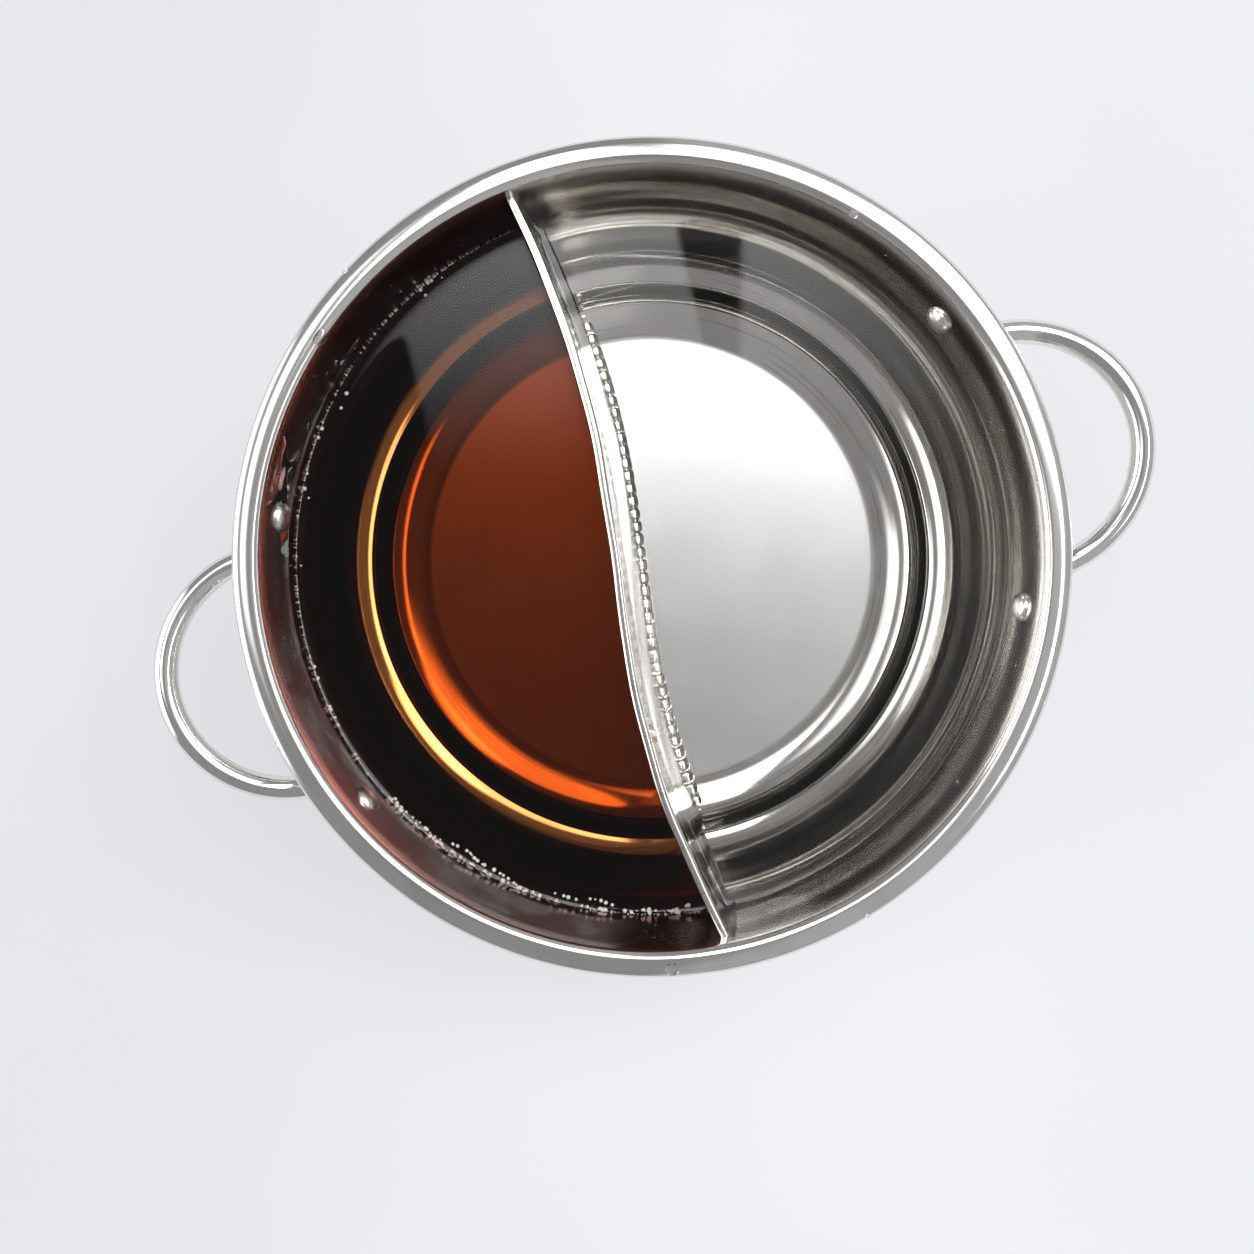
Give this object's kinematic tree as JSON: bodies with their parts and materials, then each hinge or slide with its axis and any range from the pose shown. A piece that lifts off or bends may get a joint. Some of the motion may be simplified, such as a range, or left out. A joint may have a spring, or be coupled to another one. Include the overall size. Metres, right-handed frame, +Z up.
{
  "type": "yin-yang hot pot",
  "caption": "Round steel pot with a rolled lip and riveted loop handles, parted by an S-shaped divider into a reddish-brown broth and a clear one.",
  "frame": {"origin": "centre of the base's underside, on the surface that the pot stands on", "axes": "+Z up along the pot's axis, +X towards the right-hand handle on the clear broth's side, Y along the divider"},
  "size_m": [0.3778, 0.3002, 0.095],
  "materials": {
    "pot_steel": "polished stainless steel, satin on the inside of the base",
    "divider_steel": "polished stainless steel with a weld along its foot",
    "handle_steel": "bright polished stainless steel",
    "red_broth": "clear dark reddish-brown liquid",
    "clear_broth": "clear colourless liquid"
  },
  "bodies": {
    "root": {"pot_body": "pot_steel", "divider": "divider_steel", "broth_red": "red_broth", "broth_clear": "clear_broth", "handle_right": "handle_steel", "handle_left": "handle_steel", "rivet_right_front": "handle_steel", "rivet_right_back": "handle_steel", "rivet_left_front": "handle_steel", "rivet_left_back": "handle_steel"}
  },
  "joints": []
}
